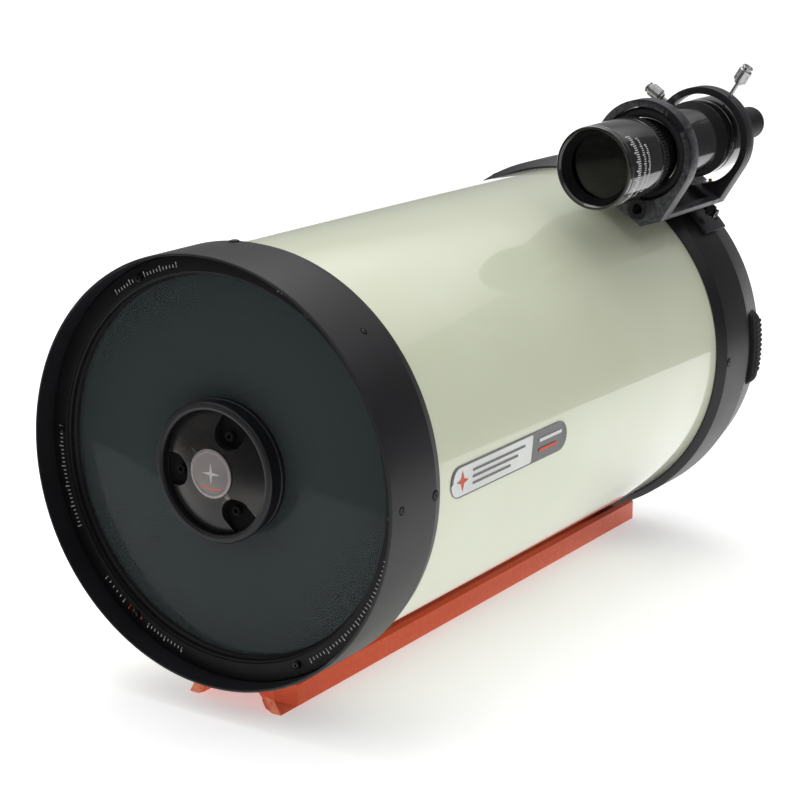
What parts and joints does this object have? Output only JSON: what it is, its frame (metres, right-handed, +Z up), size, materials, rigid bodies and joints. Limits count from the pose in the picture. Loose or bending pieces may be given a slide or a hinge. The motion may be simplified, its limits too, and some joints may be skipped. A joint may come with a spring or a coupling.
{
  "type": "schmidt cassegrain telescope",
  "caption": "Schmidt-Cassegrain optical tube with corrector plate, focusing mirror, dovetail bar and a finder scope in an adjustable two-ring bracket.",
  "frame": {"origin": "underside of the dovetail bar, half way along it and half way across", "axes": "+Y along the optical axis towards the eyepiece, +Z up from the bar towards the tube, +X to the finder side"},
  "size_m": [0.2795, 0.559, 0.3734],
  "materials": {
    "black_cast": "fine black powder coat",
    "black_steel": "blackened",
    "rubber": "matt",
    "glass": "coated",
    "cream_paint": "glossy pearl paint",
    "badge": "satin",
    "black_plastic": "satin",
    "aluminium": "machined",
    "steel": "machined",
    "mirror": "aluminised glass",
    "chrome": "polished, knurled",
    "brass": "turned",
    "orange_anodised": "satin anodised",
    "black_gloss": "glossy black paint"
  },
  "bodies": {
    "ota": {"front_cell": "black_cast", "corrector_retaining_ring": "black_cast", "ring_screw_1": "black_steel", "ring_screw_2": "black_steel", "ring_screw_3": "black_steel", "ring_screw_4": "black_steel", "ring_screw_5": "black_steel", "ring_screw_6": "black_steel", "corrector_gasket": "rubber", "corrector_plate": "glass", "main_tube": "cream_paint", "tube_badge": "badge", "secondary_housing": "black_cast", "secondary_baffle": "black_plastic", "secondary_cell": "black_cast", "secondary_badge": "badge", "baffle_tube": "black_cast", "field_lens": "glass", "rear_cell": "black_cast", "focus_bearing": "black_plastic", "vent_1": "black_plastic", "vent_2": "black_plastic", "rear_port": "black_cast", "visual_back": "black_cast", "side_grip": "rubber", "dovetail_bar": "orange_anodised", "radius_pad_front": "black_plastic", "radius_pad_rear": "black_plastic", "bar_screw_front": "black_steel", "bar_screw_rear": "black_steel", "finder_shoe": "black_cast"},
    "secondary_ring": {"secondary_front_ring": "black_cast"},
    "collimator_1": {"collimation_screw_1": "black_steel"},
    "collimator_2": {"collimation_screw_2": "black_steel"},
    "collimator_3": {"collimation_screw_3": "black_steel"},
    "tilt_pivot": {"secondary_pivot": "aluminium"},
    "secondary": {"secondary_mirror_plate": "aluminium", "secondary_mirror": "mirror"},
    "mirror": {"primary_mirror": "mirror", "mirror_carrier": "aluminium"},
    "focus": {"focus_knob": "rubber", "focus_screw": "steel"},
    "lock_1": {"mirror_lock_1": "black_plastic"},
    "lock_2": {"mirror_lock_2": "black_plastic"},
    "collar": {"visual_back_collar": "black_cast"},
    "eyepiece_clamp": {"visual_back_clamp": "chrome"},
    "shoe_clamp": {"shoe_clamp_screw": "chrome"},
    "bracket": {"finder_bracket": "black_cast", "plunger_body": "chrome"},
    "adjust_top": {"adjust_screw_top": "chrome"},
    "adjust_side": {"adjust_screw_side": "chrome"},
    "plunger": {"plunger_pin": "brass"},
    "o_ring": {"finder_o_ring": "rubber"},
    "scope": {"finder_tube": "black_gloss", "finder_eyepiece": "black_plastic", "finder_eye_lens": "glass"},
    "objective": {"finder_objective_cell": "black_gloss", "finder_objective": "glass"},
    "lock_ring": {"finder_lock_ring": "black_gloss"}
  },
  "joints": [
    {"name": "secondary_ring_turn", "type": "hinge", "parent": "ota", "child": "secondary_ring", "pos_m": [0, -0.2525, 0.1571], "axis": [0, 1, 0], "continuous": true},
    {"name": "collimation_turn_1", "type": "hinge", "parent": "ota", "child": "collimator_1", "pos_m": [0.01141, -0.25, 0.18157], "axis": [0, 1, 0], "range_deg": [-180, 180]},
    {"name": "collimation_turn_2", "type": "hinge", "parent": "ota", "child": "collimator_2", "pos_m": [0.01549, -0.25, 0.13498], "axis": [0, 1, 0], "range_deg": [-180, 180]},
    {"name": "collimation_turn_3", "type": "hinge", "parent": "ota", "child": "collimator_3", "pos_m": [-0.0269, -0.25, 0.15475], "axis": [0, 1, 0], "range_deg": [-180, 180]},
    {"name": "secondary_tilt_x", "type": "hinge", "parent": "ota", "child": "tilt_pivot", "pos_m": [0, -0.24, 0.1571], "axis": [1, 0, 0], "range_deg": [-1, 1]},
    {"name": "secondary_tilt_z", "type": "hinge", "parent": "tilt_pivot", "child": "secondary", "pos_m": [0, -0.24, 0.1571], "axis": [0, 0, 1], "range_deg": [-1, 1]},
    {"name": "focus_turn", "type": "hinge", "parent": "ota", "child": "focus", "pos_m": [0.05734, 0.263, 0.11695], "axis": [0, 1, 0], "range_deg": [-2880, 2880]},
    {"name": "mirror_slide", "type": "slide", "parent": "ota", "child": "mirror", "axis": [0, 1, 0], "range_m": [-0.008, 0.008]},
    {"name": "mirror_lock_turn_1", "type": "hinge", "parent": "ota", "child": "lock_1", "pos_m": [-0.06282, 0.255, 0.20981], "axis": [0, 1, 0], "range_deg": [0, 360]},
    {"name": "mirror_lock_turn_2", "type": "hinge", "parent": "ota", "child": "lock_2", "pos_m": [-0.02805, 0.255, 0.08005], "axis": [0, 1, 0], "range_deg": [0, 360]},
    {"name": "collar_turn", "type": "hinge", "parent": "ota", "child": "collar", "pos_m": [0, 0.275, 0.1571], "axis": [0, 1, 0], "continuous": true},
    {"name": "eyepiece_clamp_turn", "type": "hinge", "parent": "ota", "child": "eyepiece_clamp", "pos_m": [0, 0.289, 0.175], "axis": [0, 0, 1], "range_deg": [0, 360]},
    {"name": "shoe_clamp_turn", "type": "hinge", "parent": "ota", "child": "shoe_clamp", "pos_m": [0.09396, 0.214, 0.26972], "axis": [0.848, 0, -0.5299], "range_deg": [0, 360]},
    {"name": "bracket_slide", "type": "slide", "parent": "ota", "child": "bracket", "axis": [0, -1, 0], "range_m": [0, 0.038]},
    {"name": "finder_pan", "type": "hinge", "parent": "bracket", "child": "o_ring", "pos_m": [0.09936, 0.1175, 0.31611], "axis": [0.5299, 0, 0.848], "range_deg": [-1, 1]},
    {"name": "finder_tilt", "type": "hinge", "parent": "o_ring", "child": "scope", "pos_m": [0.09936, 0.1175, 0.31611], "axis": [0.848, 0, -0.5299], "range_deg": [-1, 1]},
    {"name": "adjust_top_feed", "type": "slide", "parent": "bracket", "child": "adjust_top", "axis": [0.5299, 0, 0.848], "range_m": [-0.0017, 0.0017]},
    {"name": "adjust_side_feed", "type": "slide", "parent": "bracket", "child": "adjust_side", "axis": [-0.848, 0, 0.5299], "range_m": [-0.0017, 0.0017]},
    {"name": "plunger_slide", "type": "slide", "parent": "bracket", "child": "plunger", "axis": [0.225, 0, -0.9744], "range_m": [0, 0.003], "stiffness_N_per_m": 600},
    {"name": "objective_turn", "type": "hinge", "parent": "scope", "child": "objective", "pos_m": [0.09936, 0.1175, 0.31611], "axis": [0.0111, 0.9998, 0.0178], "range_deg": [-180, 180]},
    {"name": "lock_ring_turn", "type": "hinge", "parent": "scope", "child": "lock_ring", "pos_m": [0.09936, 0.1175, 0.31611], "axis": [0.0111, 0.9998, 0.0178], "range_deg": [-180, 180]}
  ],
  "couplings": [
    {"joint": "focus_turn", "follows": "mirror_slide", "rad_per_m": 6283},
    {"joint": "adjust_top_feed", "follows": "finder_tilt", "m_per_rad": 0.093},
    {"joint": "adjust_side_feed", "follows": "finder_pan", "m_per_rad": 0.093}
  ]
}
